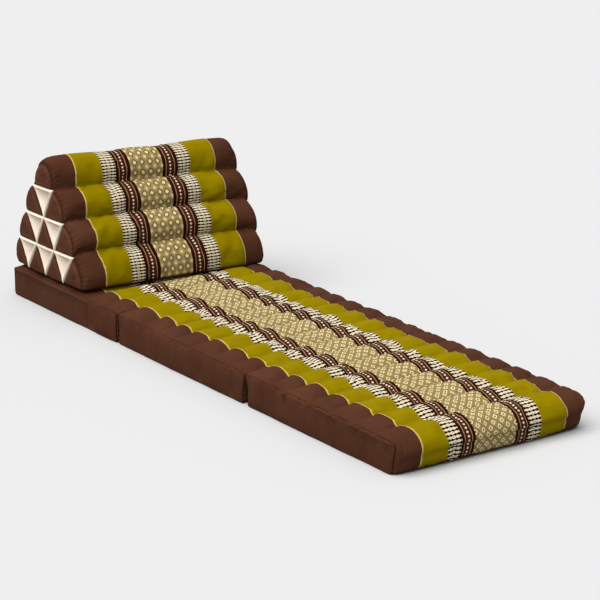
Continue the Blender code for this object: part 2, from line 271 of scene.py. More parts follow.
def centreOfPrint(maths, cloth, bands, across, along):
    # rows of ringed lozenges set in a lattice of lines
    colour = cloth["ground"]
    pitch = (bands.pitchAcross, bands.pitchAlong)
    for shift, strength in ((0.5, bands.fainter), (0.0, 1.0)):
        sideways, upright = (cellPlace(maths, value, p, shift) for value, p in zip((across, along), pitch))
        distance = lozenge(maths, sideways, upright, pitch[0] * 0.5, pitch[1] * 0.5)
        line = maths.times(maths.band(distance, 0.88, 1.02, 0.05), bands.lattice)
        colour = maths.mix(line, colour, cloth["groundLine"])
        ring = maths.times(maths.band(distance, bands.core, bands.ring, 0.04), 0.95 * strength)
        colour = maths.mix(ring, colour, cloth["ringLine"])
        core = maths.times(maths.below(distance, bands.core, 0.04), strength)
        colour = maths.mix(core, colour, cloth["lozenge"])
        seed = maths.times(maths.below(distance, bands.seed, 0.05), strength)
        colour = maths.mix(seed, colour, cloth[bands.seedColour])
    return colour


def darkBandOfPrint(maths, cloth, bands, side, along):
    # a row of dots between two thin lines
    width = bands.checks - bands.dark
    core = maths.band(side, bands.dark + 0.16 * width, bands.dark + 0.86 * width, 0.0015)
    colour = maths.mix(core, cloth["darkEdge"], cloth["darkBrown"])
    for share in (0.24, 0.77):
        line = bands.dark + share * width
        colour = maths.mix(maths.band(side, line - 0.0024, line + 0.0024), colour, cloth["darkEdge"])
        colour = maths.mix(maths.band(side, line - 0.0009, line + 0.0009), colour, cloth["tanLine"])
    fromRow = cellPlace(maths, along, cloth["dotPitch"])
    fromLine = maths.sum("ABSOLUTE", maths.minus(side, bands.dark + 0.50 * width))
    distance = lozenge(maths, fromRow, fromLine, cloth["dotSize"], cloth["dotSize"])
    return maths.mix(maths.below(distance, 1.0, 0.2), colour, cloth["cream"])


def checksOfPrint(maths, cloth, bands, side, along):
    # rows of three linked cream beads on dark ground; the middle bead is larger and has a dark dot
    column = (bands.green - bands.checks) / cloth["beadColumns"]
    rows = bands.beadRows
    fromEdge = maths.minus(side, bands.checks)
    sideways = cellPlace(maths, fromEdge, column, -0.25)
    upright = cellPlace(maths, along, rows)
    distance = oval(maths, sideways, upright, cloth["beadWidth"] * column, bands.beadHeight * rows)
    middle = maths.band(side, bands.checks + 1.25 * column, bands.checks + 2.25 * column)
    reach = maths.plus(0.95, maths.times(middle, 0.15))
    bead = maths.below(maths.sum("DIVIDE", distance, reach), 1.0, 0.12)
    strand = maths.below(upright, cloth["strand"], 0.0004)
    colour = maths.mix(maths.sum("MAXIMUM", bead, strand), cloth["darkEdge"], cloth["cream"])
    dot = maths.times(maths.below(distance, 0.27, 0.06), middle)
    return maths.mix(dot, colour, cloth["darkBrown"])


def makePrintedCotton(name, cloth, bands):
    material, maths, shader = newMaterial(name)
    place, across, along = clothUv(maths)
    # the print strays a little from its lines, as a hand screen leaves it
    stray = maths.times(maths.minus(maths.wobble(place, 40.0), 0.5), 0.0016)
    signed = maths.plus(across, stray)
    side = maths.sum("ABSOLUTE", signed)
    streaks = maths.wobble(place, 22.0, 3.0, (0.6, 1.8, 1))
    green = maths.mix(maths.step(streaks, 0.5, 0.35), cloth["greenDeep"], cloth["colour"])
    colour = centreOfPrint(maths, cloth, bands, signed, along)
    for start, paint in ((bands.dark, darkBandOfPrint), (bands.checks, checksOfPrint)):
        colour = maths.mix(maths.step(side, start), colour, paint(maths, cloth, bands, side, along))
    colour = maths.mix(maths.step(side, bands.green, 0.0005), colour, green)
    edge = maths.step(maths.sum("ABSOLUTE", across), bands.edge - cloth["paleLineWidth"])
    colour = maths.mix(edge, colour, cloth["paleLine"])
    worn = maths.plus(0.91, maths.times(maths.wobble(place, 500.0, 2.0), 0.18))
    shade = maths.node("ShaderNodeCombineColor")
    for socket in shade.inputs:
        maths.feed(socket, worn)
    colour = maths.mix(1.0, colour, shade.outputs[0], "MULTIPLY")
    threads = maths.times(weaveHeight(maths, across, along, cloth["thread"]), 0.10)
    ripples = maths.wobble(place, 20.0, 3.0, (0.6, 1.6, 1))
    finishCloth(maths, shader, cloth, colour, maths.plus(threads, ripples), 0.0010)
    return material


# Ivory cotton of the pockets, which lie in half shade, so their cloth is paler than it looks
ivoryCloth = {
    "colour": seen(288, 272, 252),
    "shade": seen(276, 257, 234),
    "thread": 0.0006,
    "roughness": 0.85,
    "sheen": 0.05,
}


def makeIvoryCotton(name, cloth):
    material, maths, shader = newMaterial(name)
    place, across, along = clothUv(maths)
    patches = maths.step(maths.wobble(place, 60.0, 3.0), 0.5, 0.3)
    colour = maths.mix(patches, cloth["shade"], cloth["colour"])
    threads = maths.times(weaveHeight(maths, across, along, cloth["thread"]), 0.15)
    height = maths.plus(threads, maths.wobble(place, 90.0, 3.0))
    finishCloth(maths, shader, cloth, colour, height, 0.0008)
    return material


# Sewing thread
sewingThread = {
    "brown": seen(88, 52, 36),
    "pale": seen(236, 206, 132),
    "roughness": 0.7,
}


def makeThread(name, colour, roughness):
    material, maths, shader = newMaterial(name)
    place = maths.node("ShaderNodeTexCoord").outputs["Object"]
    worn = maths.mix(maths.step(maths.wobble(place, 300.0), 0.5, 0.3), colour, brownCloth["deep"])
    values = {"Base Color": maths.mix(0.3, colour, worn), "Roughness": roughness, "Specular IOR Level": 0.1}
    finishSurface(maths, shader, values, maths.wobble(place, 2500.0), 0.0003, 1.0)
    return material


matHalfWidth = 0.2692
cushionHalfLength = 0.2640
# the last number is the strength of the painted shade along the edge seam
brownOfMats = makeBrownCotton("brownOfMats", brownCloth, matHalfWidth, 0.75)
brownOfCushion = makeBrownCotton("brownOfCushion", brownCloth, cushionHalfLength, 0.35)
printedMat = makePrintedCotton("printedMat", printCloth, matPrint)
printedCushion = makePrintedCotton("printedCushion", printCloth, cushionPrint)
ivoryCotton = makeIvoryCotton("ivoryCotton", ivoryCloth)
brownThread = makeThread("brownThread", sewingThread["brown"], sewingThread["roughness"])
paleThread = makeThread("paleThread", sewingThread["pale"], sewingThread["roughness"])


# Meshes
def newMesh(name, points, faces=()):
    mesh = bpy.data.meshes.new(name)
    mesh.from_pydata([tuple(p) for p in points], [], [tuple(f) for f in faces])
    return mesh


def newObject(name, contents):
    made = bpy.data.objects.new(name, contents)
    scene.collection.objects.link(made)
    return made


class Shape:
    # points with their places on the cloth, and faces with whether they lie under the print
    def __init__(self):
        self.points, self.uvs, self.faces, self.keep = [], [], [], []

    def add(self, point, uv):
        self.points.append(tuple(point))
        self.uvs.append(uv)
        return len(self.points) - 1

    def face(self, *corners, keep=False):
        self.faces.append(corners)
        self.keep.append(keep)

    def join(self, before, now):
        # quads between two rings of points
        for i in range(len(now)):
            j = (i + 1) % len(now)
            self.face(before[i], before[j], now[j], now[i])

    def close(self, ring, tip, uv):
        # triangles from a ring of points to one point in its middle
        last = self.add(tip, uv)
        for i in range(len(ring)):
            self.face(ring[i], ring[(i + 1) % len(ring)], last)


def addPiece(name, points, faces, uvs, material, slot, nodes):
    # one smooth-shaded piece that stands for those nodes; uvs has one place on the cloth for each point
    mesh = newMesh(name, points, faces)
    layer = mesh.uv_layers.new(name="cloth")
    corners = np.empty(len(mesh.loops), np.int32)
    mesh.loops.foreach_get("vertex_index", corners)
    layer.data.foreach_set("uv", np.asarray(uvs, np.float32)[corners].ravel())
    mesh.shade_smooth()
    mesh.materials.append(material)
    piece = newObject(name, mesh)
    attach(piece, "root")
    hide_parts(*nodes)
    return piece


def normalsOf(points, faces):
    # one normal for each point, from quads and triangles
    points = np.asarray(points, float)
    total = np.zeros_like(points)
    for face in faces:
        a, b = points[face[2]] - points[face[0]], points[face[-1]] - points[face[1]]
        total[list(face)] += np.cross(a, b)
    return total / np.maximum(np.linalg.norm(total, axis=1), 1e-12)[:, None]


def cutSheet(points, faces, uvs, keep, lift, thickness):
    # a cloth of its own from the kept faces of a form, lifted off it and given a thickness
    kept = [face for face, inside in zip(faces, keep) if inside]
    used = sorted({v for face in kept for v in face})
    place = {v: i for i, v in enumerate(used)}
    normals = normalsOf(points, faces)[used]
    base = np.asarray(points, float)[used]
    count = len(used)
    outer, inner = base + normals * lift, base + normals * (lift - thickness)
    top = [tuple(place[v] for v in face) for face in kept]
    edges = {}
    for face in top:
        for a, b in zip(face, face[1:] + face[:1]):
            if (b, a) in edges:
                del edges[b, a]
            else:
                edges[a, b] = True
    rim = [(b, a, a + count, b + count) for a, b in edges]
    under = [tuple(v + count for v in reversed(face)) for face in top]
    sheetUvs = np.asarray(uvs, float)[used]
    return np.vstack((outer, inner)), top + under + rim, np.vstack((sheetUvs, sheetUvs))


# Filling
filling = {
    "pressure": 4.0,
    "frames": 20,
    "slack": 0.03,               # how much larger the cloth is cut than the form
    "tension": 12.0,
    "bending": 0.6,
}


def puff(name, points, faces, caps, values):
    # lets the filling press the cloth out; no point goes further than its cap, and the seams stay
    points, caps = np.asarray(points, float), np.asarray(caps, float)
    trial = newObject(name, newMesh(name, points, faces))
    seams = trial.vertex_groups.new(name="seams")
    seams.add([int(v) for v in np.flatnonzero(caps < 1e-6)], 1.0, "REPLACE")
    cloth = trial.modifiers.new("cloth", "CLOTH")
    cloth.settings.vertex_group_mass = "seams"
    cloth.settings.use_pressure = True
    cloth.settings.uniform_pressure_force = values["pressure"]
    cloth.settings.shrink_min = -values["slack"]
    cloth.settings.tension_stiffness = values["tension"]
    cloth.settings.compression_stiffness = values["tension"]
    cloth.settings.bending_stiffness = values["bending"]
    cloth.settings.effector_weights.gravity = 0
    cloth.point_cache.frame_end = values["frames"]
    for number in range(1, values["frames"] + 1):
        scene.frame_set(number)
    pressed = bpy.data.meshes.new_from_object(trial.evaluated_get(bpy.context.evaluated_depsgraph_get()))
    places = np.empty(len(points) * 3)
    pressed.vertices.foreach_get("co", places)
    moved = places.reshape(-1, 3) - points
    far = np.maximum(np.linalg.norm(moved, axis=1), 1e-9)
    bpy.data.objects.remove(trial)
    scene.frame_set(1)
    print(name, "mean", round(float(far[caps > 0].mean()), 4), "most", round(float(far.max()), 4))
    return points + moved * (np.minimum(far, caps) / far)[:, None]


# Mats
Rolls = namedtuple("Rolls", "widths heights")        # in millimetres
End = namedtuple("End", "top low sideTop sideLow overX overZ underX underZ bow haste")
matForm = {
    "halfWidth": matHalfWidth,
    "printHalfWidth": 0.2065,
    "printFlat": 0.425,          # the print's width with its turnings
    "panelFlat": 0.079,
    "panelLift": 0.0010,
    "panelFoot": 0.0008,         # the panels end this far above the floor
    "seamHeight": 0.0765,
    "valleyHeight": 0.0808,
    "rolls": {
        "head": Rolls((76, 76, 76, 76, 76, 76, 85), (8, 8, 8, 8, 8, 10, 11)),
        "middle": Rolls((106, 77, 70, 79, 87, 79, 74), (11, 11, 10, 11, 12, 11, 10)),
        "foot": Rolls((90, 73, 85, 81, 87, 84, 75), (10, 11, 12, 11, 12, 11, 9)),
    },
    "starts": {"head": 0.0, "middle": 0.5403, "foot": 1.1143},
    # where an end's upper and lower edges are in the middle and at the side seams, its two roundings,
    # how far a fold's wall bows back, and how soon it is full towards the middle
    "ends": {
        "head": (End(0.0000, 0.0000, 0.0080, 0.0080, 0.034, 0.040, 0.020, 0.040, 0, 1),
                 End(0.5398, 0.5380, 0.5335, 0.5335, 0.003, 0.003, 0.014, 0.014, 0.003, 0.35)),
        "middle": (End(0.5402, 0.5420, 0.5455, 0.5455, 0.003, 0.003, 0.014, 0.014, 0.003, 0.35),
                   End(1.1137, 1.1060, 1.1115, 1.1035, 0.004, 0.004, 0.014, 0.016, 0.005, 0.35)),
        "foot": (End(1.1143, 1.1225, 1.1165, 1.1250, 0.004, 0.004, 0.014, 0.016, 0.005, 0.35),
                 End(1.7055, 1.7000, 1.6925, 1.6790, 0.058, 0.042, 0.020, 0.042, 0, 1)),
    },
    "cornerRounding": {"right": 0.010, "left": 0.030},
    "edgeRounding": 0.012,
    "foldRounding": 0.004,
    # y, share of the rise to the quilting seams, of the rolls' height and of the ends' fill
    "stations": ((-0.2692, 0, 0, 0), (-0.2655, 0.42, 0.08, 0.30), (-0.2590, 0.74, 0.20, 0.58),
                 (-0.2480, 0.96, 0.38, 0.80), (-0.2320, 1.00, 0.68, 0.92), (-0.2065, 1, 1, 0.97),
                 (-0.1000, 1.06, 1, 1), (0, 1.1, 1, 1), (0.1000, 1.06, 1, 1),
                 (0.2065, 1, 1, 0.97), (0.2320, 1.05, 1.02, 0.92), (0.2480, 1.12, 0.84, 0.80),
                 (0.2590, 1.10, 0.64, 0.58), (0.2655, 0.80, 0.36, 0.30), (0.2692, 0, 0, 0)),
    "columnsPerRoll": 12,
    "middleStep": 0.0105,        # between the points across the print
    "overRows": 8,
    "uprightRows": 3,
    "underRows": 5,
    "wallStep": 0.006,           # from row to row down a side wall, on the cloth
    "roundness": 2.4,
    "uneven": 0.12,              # how much one roll differs from the next
    "seamDip": 0.0020,           # how far each quilting seam is drawn in
    "seamWidth": 0.0032,
    "sideBulge": 0.0030,
    "puckers": 0.0010,           # small folds of the borders
    "puckerPitch": 0.021,
    "puckerPlace": 0.252,        # y of their middle
    "puckerReach": 0.018,
    "welt": 0.0021,              # how far the seam along the side stands out
    "weltDepth": 0.0045,         # how far it lies below the edge, and the hollow under it
    "hollowDepth": 0.0100,
    "hem": 0.0025,               # how far above the floor the print ends
    "covered": 0.39,             # how much of the head mat lies under the cushion
    "caps": {"top": 0.0035, "side": 0.0025, "end": 0.0030},
    "seed": 3,
}
# places from the side seam to the edge of the print
acrossSteps = (0, .0018, .0037, .006, .009, .0128, .0172, .0225, .0285, .0352, .0425, .0500, .0565, .0627)
printLift = 0.0008               # how far a printed cloth stands out of its filled form
clothThickness = 0.0012


def acrossPlaces(halfWidth, printHalf, middleStep):
    # places across a mat, close together along the borders
    near = [-halfWidth + step for step in acrossSteps[:-1]]
    middle = np.linspace(-printHalf, printHalf, 2 * round(printHalf / middleStep) + 1)
    return np.array(near + list(middle) + [-y for y in reversed(near)])


def stationAt(form, y):
    table = np.array(form["stations"])
    return [float(np.interp(y, table[:, 0], table[:, c])) for c in (1, 2, 3)]


def matHeight(form, mat, y, x):
    # the quilted top: a seam drawn in at each valley and a round roll between each two
    rise, roll, _ = stationAt(form, y)
    start = form["starts"][mat]
    rolls = list(zip(*form["rolls"][mat]))
    number = 0
    while len(rolls) > 1 and x > start + rolls[0][0] / 1000:
        start += rolls.pop(0)[0] / 1000
        number += 1
    width, height = (size / 1000 for size in rolls[0])
    share = min(max((x - start) / width, 0), 1)
    full = 1 - abs(2 * share - 1) ** form["roundness"]
    uneven = 1 + form["uneven"] * noise.noise(Vector((number * 3.1 + start * 7, y * 7, form["seed"])))
    toSeam = min(share, 1 - share) * width
    dip = form["seamDip"] * np.exp(-(toSeam / form["seamWidth"]) ** 2) * rise
    # puckers beside the side seam, at a slant
    near = max(0, 1 - abs(abs(y) - form["puckerPlace"]) / form["puckerReach"])
    phase = (x + 0.5 * abs(y)) / form["puckerPitch"] + 1.5 * noise.noise(Vector((x * 14, y * 14, 1)))
    dip += form["puckers"] * near * sin(2 * pi * phase)
    base = form["seamHeight"] + (form["valleyHeight"] - form["seamHeight"]) * rise
    return base + height * roll * full * uneven - dip


def endOfMat(form, mat, y, end, side):
    # from the ground up an end, under, up and over its edge
    fill = stationAt(form, y)[2] ** end.haste
    top = end.sideTop + (end.top - end.sideTop) * fill
    low = end.sideLow + (end.low - end.sideLow) * fill
    atFold = end.haste < 1
    corner = form["foldRounding"] if atFold else form["cornerRounding"]["left" if y > 0 else "right"]
    edge = min(corner, form["edgeRounding"])
    overX, overZ, underX, underZ = (
        rounding + (full - rounding) * fill
        for full, rounding in ((end.overX, edge), (end.overZ, edge),
                               (end.underX, corner), (end.underZ, corner))
    )
    high = matHeight(form, mat, y, top - side * overX)
    points = []
    for step in range(form["underRows"]):
        turn = pi / 2 * (1 - step / form["underRows"])
        points.append((low - side * underX * (1 - cos(turn)), underZ * (1 - sin(turn))))
    under = (low, underZ)
    over = (top, high - overZ)
    for step in range(form["uprightRows"]):
        share = step / form["uprightRows"]
        bow = side * end.bow * sin(pi * share)
        x, z = (a + (b - a) * share for a, b in zip(under, over))
        points.append((x - bow, z))
    for step in range(form["overRows"] + 1):
        turn = pi / 2 * (1 - step / form["overRows"])
        points.append((top - side * overX * (1 - sin(turn)), high - overZ * (1 - cos(turn))))
    return np.array(points)


def shellOfBox(nx, ny, nz):
    # numbers the points of a box's shell and lists its faces, looking out, with the side each is on
    number, faces, sides = {}, [], []

    def at(*cell):
        return number.setdefault(cell, len(number))

    def add(side, *cells):
        faces.append(tuple(at(*cell) for cell in cells))
        sides.append(side)

    for i in range(nx):
        for j in range(ny):
            add("top", (i, j, nz), (i + 1, j, nz), (i + 1, j + 1, nz), (i, j + 1, nz))
            add("base", (i, j, 0), (i, j + 1, 0), (i + 1, j + 1, 0), (i + 1, j, 0))
        for k in range(nz):
            add("right", (i, 0, k), (i + 1, 0, k), (i + 1, 0, k + 1), (i, 0, k + 1))
            add("left", (i, ny, k), (i, ny, k + 1), (i + 1, ny, k + 1), (i + 1, ny, k))
    for j in range(ny):
        for k in range(nz):
            add("head", (0, j, k), (0, j, k + 1), (0, j + 1, k + 1), (0, j + 1, k))
            add("foot", (nx, j, k), (nx, j + 1, k), (nx, j + 1, k + 1), (nx, j, k + 1))
    return number, faces, sides


def matColumns(form, mat, first, last):
    # x of every column of the top between the two ends' curves
    columns = []
    start = form["starts"][mat]
    widths = form["rolls"][mat].widths
    for number, width in enumerate(widths):
        left = first if number == 0 else start
        right = last if number == len(widths) - 1 else start + width / 1000
        count = form["columnsPerRoll"]
        # closer together at the seams
        shares = 0.5 - 0.5 * np.cos(pi * np.arange(count) / count)
        shares = 0.5 * shares + 0.5 * np.arange(count) / count
        columns += list(left + (right - left) * shares)
        start += width / 1000
    return np.array(columns + [last])


def runOf(path):
    # how far along a path each of its points lies
    return np.concatenate(([0], np.cumsum(np.linalg.norm(np.diff(path, axis=0), axis=1))))


def shapeMat(form, mat):
    # the points of a filled mat, with their places on the cloth
    across = acrossPlaces(form["halfWidth"], form["printHalfWidth"], form["middleStep"])
    headEnd, footEnd = form["ends"][mat]
    nz = form["underRows"] + form["uprightRows"] + form["overRows"]
    nx = form["columnsPerRoll"] * len(form["rolls"][mat].widths)
    ny = len(across) - 1
    number, faces, sides = shellOfBox(nx, ny, nz)
    points = np.zeros((len(number), 3))
    uvs = np.zeros((len(number), 2))
    sections = []
    for y in across:
        head = endOfMat(form, mat, y, headEnd, -1)
        foot = endOfMat(form, mat, y, footEnd, 1)
        columns = matColumns(form, mat, head[-1][0], foot[-1][0])
        heights = np.array([matHeight(form, mat, y, x) for x in columns])
        heights[0], heights[-1] = head[-1][1], foot[-1][1]
        sections.append((head, foot, columns, heights))
    middle = sections[ny // 2]
    topRun = runOf(np.array(middle[2:]).T)
    endRuns = [runOf(end[::-1]) for end in middle[:2]]
    for (i, j, k), v in number.items():
        head, foot, columns, heights = sections[j]
        y = across[j]
        share, up = i / nx, k / nz
        baseWidth = foot[0][0] - head[0][0]
        baseX = head[0][0] + baseWidth * (columns[i] - columns[0]) / (columns[-1] - columns[0])
        if i == 0:
            x, z = head[k]
            along = -endRuns[0][nz - k]
        elif i == nx:
            x, z = foot[k]
            along = topRun[-1] + endRuns[1][nz - k]
        elif k == nz:
            x, z = columns[i], heights[i]
            along = topRun[i]
        elif k == 0:
            x, z = baseX, 0.0
            along = topRun[i]
        else:
            # the side wall, drawn between its four edges
            ends = (1 - share) * head[k] + share * foot[k]
            lids = (1 - up) * np.array((baseX, 0)) + up * np.array((columns[i], heights[i]))
            headEdge, footEdge = ((1 - up) * end[0] + up * end[-1] for end in (head, foot))
            x, z = ends + lids - ((1 - share) * headEdge + share * footEdge)
            along = topRun[i]
            bulge = (1 - abs(2 * up - 1) ** 2.5) * min(1, min(share, 1 - share) * 16) ** 0.5
            bulge *= 0.7 + 0.9 * noise.noise(Vector((x * 11, z * 10, form["seed"] + y)))
            # the turnings stand out just below the edge, with a hollow under them
            deep = heights[i] - z
            welt = np.exp(-((deep - form["weltDepth"]) / 0.0022) ** 2)
            hollow = 0.7 * np.exp(-((deep - form["hollowDepth"]) / 0.0025) ** 2)
            y += np.sign(y) * (form["sideBulge"] * bulge + form["welt"] * (welt - hollow))
        points[v] = (x - half, y, z)
        downWall = form["wallStep"] * (nz - k) if 0 < i < nx else 0
        uvs[v] = (across[j] + np.sign(across[j]) * downWall, along)
    return number, faces, sides, points, uvs, (nx, ny, nz)


def capsOfMat(form, mat, cells, counts, points):
    # how far the filling may move each point; the seams, folds and underside don't move
    caps = []
    for v, (i, j, k) in sorted(cells.items()):
        onSeam = k == counts[2] and (i % form["columnsPerRoll"] == 0 or j in (0, counts[1]))
        atFold = i == 0 and mat != "head" or i == counts[0] and mat != "foot"
        covered = mat == "head" and points[v][0] + half < form["covered"]
        if onSeam or atFold or covered or points[v][2] < 0.004:
            caps.append(0)
        elif k == counts[2]:
            caps.append(form["caps"]["top"] * min(1, stationAt(form, points[v][1])[1]))
        else:
            caps.append(form["caps"]["end" if i in (0, counts[0]) else "side"])
    return caps


stitchedRows = {"side": [], "print": []}     # paths along the seams, with the way the cloth looks


def rowOnPrint(points, normals, path, inside):
    # a row a little inside the edge of a printed cloth
    places = 0.8 * points[path] + 0.2 * points[inside] + normals[path] * (printLift + 0.0001)
    stitchedRows["print"].append((places, normals[path]))


def rowsOfMat(mat, number, points, normals, counts):
    # along the side seams, and along both edges of the print with its free end
    nx, ny, nz = counts
    edge = len(acrossSteps) - 1
    down = range(nz - 1, 3, -1)      # down the free end, almost to the hem
    for j in (2, ny - 2):
        path = [number[i, j, nz] for i in range(nx + 1)]
        stitchedRows["side"].append((points[path] + normals[path] * 0.0002, normals[path]))
    for j, towards in ((edge, 1), (ny - edge, -1)):
        cells = [(i, nz) for i in range(nx + 1)]
        if mat == "foot":
            cells += [(nx, k) for k in down]
        if mat == "head":
            cells = [(0, k) for k in reversed(down)] + cells
        path = [number[i, j, k] for i, k in cells]
        inside = [number[i, j + towards, k] for i, k in cells]
        rowOnPrint(points, normals, path, inside)


def makeMat(form, mat):
    number, faces, sides, points, uvs, counts = shapeMat(form, mat)
    cells = {v: cell for cell, v in number.items()}
    underPrint = []
    for face, side in zip(faces, sides):
        inside = all(abs(points[v][1]) <= form["printHalfWidth"] + 1e-6 for v in face)
        # the head mat's head end and the foot mat's foot end are free
        onTop = side in ("top", mat)
        # at the folds the print turns just over the edge
        overEdge = side in ("head", "foot") and all(cells[v][2] >= counts[2] - 3 for v in face)
        high = all(points[v][2] >= form["hem"] for v in face)
        underPrint.append(inside and high and (onTop or overEdge))
    points = puff(mat + "Mat", points, faces, capsOfMat(form, mat, cells, counts, points), filling)
    rowsOfMat(mat, number, points, normalsOf(points, faces), counts)
    body = addPiece(mat + "Mat", points, faces, uvs, brownOfMats, "brown_cotton", [mat + "_mat"])
    sheet = cutSheet(points, faces, uvs, underPrint, printLift, clothThickness)
    cloth = addPiece(mat + "MatPrint", *sheet, printedMat, "printed_cotton", [mat + "_mat_print"])
    for side in ("right", "left"):
        keep = [s == side for s in sides]
        sheet = cutSheet(points, faces, uvs, keep, form["panelLift"], clothThickness)
        sheet[0][:, 2] = np.maximum(sheet[0][:, 2], form["panelFoot"])
        name = mat + "MatSide" + side.capitalize()
        panel = addPiece(name, *sheet, brownOfMats, "brown_cotton", ["%s_mat_side_%s" % (mat, side)])


for mat in ("head", "middle", "foot"):
    makeMat(matForm, mat)
print("mats made")


# Fold strips
stripForm = {
    "rows": 40,
    "columns": 12,
    # the strip under the head fold lies flat; the one at the foot fold is drawn up into the notch
    "head": {"centre": 0.5400, "width": 0.0220, "height": 0.0012, "rise": 0, "length": 0.528},
    "foot": {"centre": 1.1140, "width": 0.0044, "height": 0.0600, "rise": 0.0098, "length": 0.520},
}


def makeStrip(form, fold):
    values = form[fold]
    shares = np.linspace(-1, 1, form["columns"] + 1)
    across = np.sin(shares * pi / 2) if values["rise"] else shares
    heights = values["height"] + values["rise"] * np.cos(pi / 2 * shares)
    profile = list(zip(values["centre"] + values["width"] / 2 * across, heights))
    places = np.linspace(-values["length"] / 2, values["length"] / 2, form["rows"] + 1)
    points = [(x - half, y, z) for y in places for x, z in profile]
    size = len(profile)
    faces = [(r * size + c, r * size + c + 1, (r + 1) * size + c + 1, (r + 1) * size + c)
             for r in range(form["rows"]) for c in range(form["columns"])]
    uvs = [(y, x) for y in places for x, z in profile]
    sheet = cutSheet(points, faces, uvs, [True] * len(faces), clothThickness / 2, clothThickness)
    name = "foldStrip" + fold.capitalize()
    strip = addPiece(name, *sheet, brownOfMats, "brown_cotton", ["fold_strip_" + fold])


for fold in ("head", "foot"):
    makeStrip(stripForm, fold)


# Cushion
Seam = namedtuple("Seam", "x z endX endZ far")   # far is how much less it is drawn in at the left end
Roll = namedtuple("Roll", "start outX outZ inX inZ")
cushionForm = {
    "seams": {
        "toe": Seam(0.3750, 0.0905, 0.3620, 0.0925, 0),
        "front3": Seam(0.3475, 0.1855, 0.3365, 0.1690, 0.009),
        "front2": Seam(0.3005, 0.2625, 0.2880, 0.2480, 0.017),
        "front1": Seam(0.2505, 0.3360, 0.2390, 0.3265, 0.018),
        "back1": Seam(0.1420, 0.3260, 0.1445, 0.3255, 0),
        "back2": Seam(0.1000, 0.2460, 0.1035, 0.2465, 0),
        "back3": Seam(0.0580, 0.1660, 0.0625, 0.1670, 0),
        "heel": Seam(0.0450, 0.0905, 0.0520, 0.0925, 0),
        "base1": Seam(0.1050, 0.0935, 0.1050, 0.0925, 0),
        "base2": Seam(0.1950, 0.0935, 0.1950, 0.0925, 0),
        "base3": Seam(0.2850, 0.0935, 0.2850, 0.0925, 0),
    },
    "rolls": (
        Roll("toe", 0.044, 0.000, 0.036, -0.012),
        Roll("front3", 0.018, 0.034, 0.034, -0.010),
        Roll("front2", 0.015, 0.032, 0.034, -0.010),
        Roll("front1", 0.014, 0.092, 0.026, 0.121),
        Roll("back1", -0.030, -0.008, -0.012, 0.032),
        Roll("back2", -0.022, -0.008, -0.008, 0.030),
        Roll("back3", -0.030, -0.008, -0.038, 0.000),
        Roll("heel", 0.020, 0.000, -0.010, -0.003),
        Roll("base1", 0.012, -0.004, -0.012, -0.004),
        Roll("base2", 0.012, -0.004, -0.012, -0.004),
        Roll("base3", 0.010, -0.003, -0.020, 0.000),
    ),
    "printedRolls": 7,
    "halfLength": cushionHalfLength,
    "printHalfWidth": 0.2048,
    "turnings": 0.012,           # how much wider the print is cut
    "printFrom": 0.0975,         # the print and its stitches start at these heights
    "stitchesFrom": 0.102,
    "foot": 0.09,                # height of the mat under it, and its own height
    "rise": 0.32,
    "skew": 0.085,
    "drop": 0.009,               # how much lower the top is at the far end
    "endCurve": 0.83,
    # y and share of the full section
    "stations": ((-0.2640, 0.0), (-0.2626, 0.26), (-0.2595, 0.50), (-0.2550, 0.70), (-0.2480, 0.86),
                 (-0.2370, 0.96), (-0.2220, 0.99), (-0.2048, 1.0), (0.2048, 1.0), (0.2220, 1.0),
                 (0.2370, 0.99), (0.2480, 0.96), (0.2550, 0.88), (0.2595, 0.72), (0.2626, 0.42),
                 (0.2640, 0.0)),
    "pointsPerRoll": 20,
    "seamDip": 0.0035,
    "middleStep": 0.0105,
    "cellCrown": 0.0085,
    "cellSize": 0.042,           # from here on a cell has its whole crown
    # share of the crown, and how steeply it starts: the left end is fuller
    "cellFill": {"right": (1.0, 1.15), "left": (1.4, 0.55)},
    "cellRings": 7,
    "cellRoundness": 2.4,
    "caps": {"roll": 0.0040, "cell": 0.0030},
}


def curveOfRoll(form, number, full, far):
    roll = form["rolls"][number]
    after = form["rolls"][(number + 1) % len(form["rolls"])]
    curve = form["endCurve"] + (1 - form["endCurve"]) * full
    ends = []
    for seam in (form["seams"][roll.start], form["seams"][after.start]):
        x = seam.endX + (seam.x - seam.endX) * full + seam.far * (1 - full) * far
        ends.append(np.array((x, seam.endZ + (seam.z - seam.endZ) * full)))
    first = ends[0] + np.array((roll.outX, roll.outZ)) * curve
    second = ends[1] + np.array((roll.inX, roll.inZ)) * curve
    points = []
    count = form["pointsPerRoll"]
    for step in range(count):
        # closer together at the seams
        t = 0.35 * step / count + 0.65 * (0.5 - 0.5 * cos(pi * step / count))
        s = 1 - t
        points.append(s ** 3 * ends[0] + 3 * s * s * t * first + 3 * s * t * t * second + t ** 3 * ends[1])
    return points


def sectionOfCushion(form, full, far=0):
    section = []
    for number in range(len(form["rolls"])):
        curve = curveOfRoll(form, number, full, far)
        if 0 < number < form["printedRolls"]:
            # the seam is drawn in towards the middle of the cushion
            inward = np.array((0.2, 0.2)) - curve[0]
            curve[0] = curve[0] + inward / np.linalg.norm(inward) * form["seamDip"] * full
        section += curve
    return np.array(section)


def leaned(form, x, y, z):
    # the cushion leans towards the foot end, and its top is lower, as y grows
    height = max(0, (z - form["foot"]) / form["rise"])
    across = (y + form["printHalfWidth"]) / (2 * form["printHalfWidth"])
    return (x + form["skew"] * y - half, y, z - form["drop"] * height * max(0, min(1.15, across)))


def endCorner(form, row, column, side):
    # a corner of the end's cells; rows count from the top and columns from the back
    seams = form["seams"]
    far = max(0, side)
    if row == 4:
        seam = seams["base%d" % column]
        return np.array((seam.endX, seam.endZ))
    back, front = (np.array((seams[name % row].endX + far * seams[name % row].far, seams[name % row].endZ))
                   for name in ("back%d", "front%d"))
    return back + (front - back) * column / row


